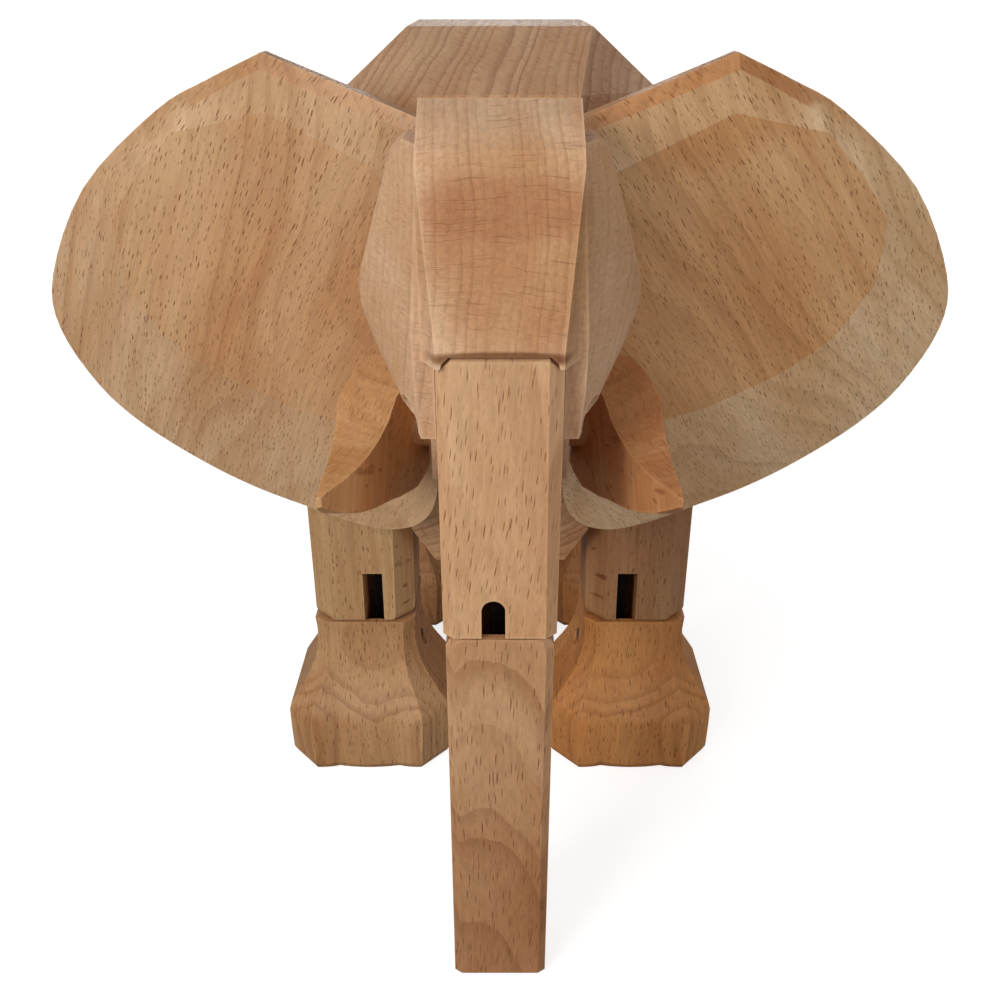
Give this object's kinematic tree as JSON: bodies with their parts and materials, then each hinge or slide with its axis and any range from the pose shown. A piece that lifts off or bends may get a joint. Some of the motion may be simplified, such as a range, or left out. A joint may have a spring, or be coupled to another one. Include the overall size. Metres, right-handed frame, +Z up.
{
  "type": "jointed wooden elephant figurine",
  "caption": "Standing toy elephant of faceted beech blocks, with large ears, tusks and a hanging trunk, jointed on dowels and elastic cords so it can be posed.",
  "frame": {"origin": "on the ground under the middle of the figure's length and width", "axes": "+X to the elephant's left, +Y to its tail, +Z up; it faces -Y"},
  "size_m": [0.1914, 0.1854, 0.172],
  "materials": {
    "body": "satin, oiled beech",
    "head": "satin, oiled beech",
    "ears": "satin, oiled beech",
    "tusks": "satin, oiled beech",
    "trunk": "satin, oiled beech",
    "legs": "satin, oiled beech",
    "feet": "satin, oiled beech",
    "tail": "satin, oiled beech",
    "dowels": "satin, oiled beech",
    "elastic": "black covered elastic, slightly shiny"
  },
  "bodies": {
    "torso": {"body": "body", "neck_cord": "elastic", "front_axle_cord": "elastic", "rear_axle_cord": "elastic", "tail_cord": "elastic"},
    "head": {"head": "head", "tusk_left": "tusks", "tusk_right": "tusks", "tusk_dowel": "dowels", "trunk_hinge_dowel": "dowels", "ear_cord": "elastic"},
    "ear_left": {"ear_left": "ears"},
    "ear_right": {"ear_right": "ears"},
    "trunk_upper": {"trunk_upper": "trunk", "trunk_cord": "elastic"},
    "trunk_lower": {"trunk_lower": "trunk", "trunk_cord_dowel": "dowels"},
    "tail": {"tail": "tail"},
    "front_left_leg": {"front_left_upper_leg": "legs", "front_left_plug": "dowels", "front_left_leg_cord": "elastic"},
    "front_left_foot": {"front_left_foot": "feet", "front_left_foot_dowel": "dowels"},
    "front_right_leg": {"front_right_upper_leg": "legs", "front_right_plug": "dowels", "front_right_leg_cord": "elastic"},
    "front_right_foot": {"front_right_foot": "feet", "front_right_foot_dowel": "dowels"},
    "rear_left_leg": {"rear_left_upper_leg": "legs", "rear_left_plug": "dowels", "rear_left_leg_cord": "elastic"},
    "rear_left_foot": {"rear_left_foot": "feet", "rear_left_foot_dowel": "dowels"},
    "rear_right_leg": {"rear_right_upper_leg": "legs", "rear_right_plug": "dowels", "rear_right_leg_cord": "elastic"},
    "rear_right_foot": {"rear_right_foot": "feet", "rear_right_foot_dowel": "dowels"}
  },
  "joints": [
    {"name": "neck_roll", "type": "hinge", "parent": "torso", "child": "head", "pos_m": [0, -0.04505, 0.138], "axis": [0, 1, 0], "range_deg": [-12, 12]},
    {"name": "ear_left_tilt", "type": "hinge", "parent": "head", "child": "ear_left", "pos_m": [0, -0.0507, 0.127], "axis": [1, 0, 0], "range_deg": [-6, 3]},
    {"name": "ear_right_tilt", "type": "hinge", "parent": "head", "child": "ear_right", "pos_m": [0, -0.0507, 0.127], "axis": [1, 0, 0], "range_deg": [-6, 3]},
    {"name": "trunk_lift", "type": "hinge", "parent": "head", "child": "trunk_upper", "pos_m": [0, -0.0812, 0.1148], "axis": [1, 0, 0], "range_deg": [-90, 12]},
    {"name": "trunk_fold", "type": "hinge", "parent": "trunk_upper", "child": "trunk_lower", "pos_m": [0, -0.0917, 0.079], "axis": [-1, 0, 0], "range_deg": [0, 90], "deforming": ["trunk_cord"]},
    {"name": "tail_swing", "type": "hinge", "parent": "torso", "child": "tail", "pos_m": [0, 0.0883, 0.126], "axis": [1, 0, 0], "range_deg": [0, 45], "deforming": ["tail_cord"]},
    {"name": "front_left_leg_swing", "type": "hinge", "parent": "torso", "child": "front_left_leg", "pos_m": [0.033, -0.0082, 0.084], "axis": [1, 0, 0], "range_deg": [-18, 18]},
    {"name": "front_left_knee", "type": "hinge", "parent": "front_left_leg", "child": "front_left_foot", "pos_m": [0.033, -0.0212, 0.0393], "axis": [-1, 0, 0], "range_deg": [0, 90], "deforming": ["front_left_leg_cord"]},
    {"name": "front_right_leg_swing", "type": "hinge", "parent": "torso", "child": "front_right_leg", "pos_m": [-0.033, -0.0082, 0.084], "axis": [-1, 0, 0], "range_deg": [-18, 18]},
    {"name": "front_right_knee", "type": "hinge", "parent": "front_right_leg", "child": "front_right_foot", "pos_m": [-0.033, -0.0212, 0.0393], "axis": [-1, 0, 0], "range_deg": [0, 90], "deforming": ["front_right_leg_cord"]},
    {"name": "rear_left_leg_swing", "type": "hinge", "parent": "torso", "child": "rear_left_leg", "pos_m": [0.033, 0.0598, 0.084], "axis": [1, 0, 0], "range_deg": [-12, 45]},
    {"name": "rear_left_knee", "type": "hinge", "parent": "rear_left_leg", "child": "rear_left_foot", "pos_m": [0.033, 0.0468, 0.0393], "axis": [-1, 0, 0], "range_deg": [0, 70], "deforming": ["rear_left_leg_cord"]},
    {"name": "rear_right_leg_swing", "type": "hinge", "parent": "torso", "child": "rear_right_leg", "pos_m": [-0.033, 0.0598, 0.084], "axis": [-1, 0, 0], "range_deg": [-45, 12]},
    {"name": "rear_right_knee", "type": "hinge", "parent": "rear_right_leg", "child": "rear_right_foot", "pos_m": [-0.033, 0.0468, 0.0393], "axis": [-1, 0, 0], "range_deg": [0, 70], "deforming": ["rear_right_leg_cord"]}
  ]
}
